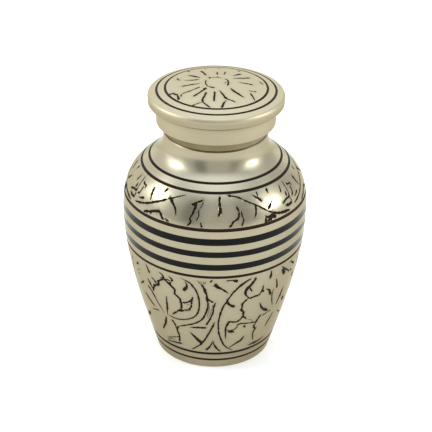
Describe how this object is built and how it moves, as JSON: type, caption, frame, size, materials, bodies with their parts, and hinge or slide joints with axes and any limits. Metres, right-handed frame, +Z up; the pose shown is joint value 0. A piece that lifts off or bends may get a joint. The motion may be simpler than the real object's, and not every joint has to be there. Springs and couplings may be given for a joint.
{
  "type": "cremation urn",
  "caption": "Hollow baluster keepsake urn with engraved leaf bands, dark stripes and a lift-off domed lid that drops into its mouth.",
  "frame": {"origin": "middle of the foot's underside, on the surface that the urn stands on", "axes": "+Z up along the turning axis, -Y towards the viewer of the picture, +X to the viewer's right"},
  "size_m": [0.0486, 0.0486, 0.077],
  "materials": {
    "body_metal": "brushed pewter-coloured plating, black-filled engraving and stripes",
    "lid_metal": "satin pewter-coloured plating, black-filled engraving"
  },
  "bodies": {
    "root": {"urn_body": "body_metal", "urn_lid": "lid_metal"}
  },
  "joints": []
}
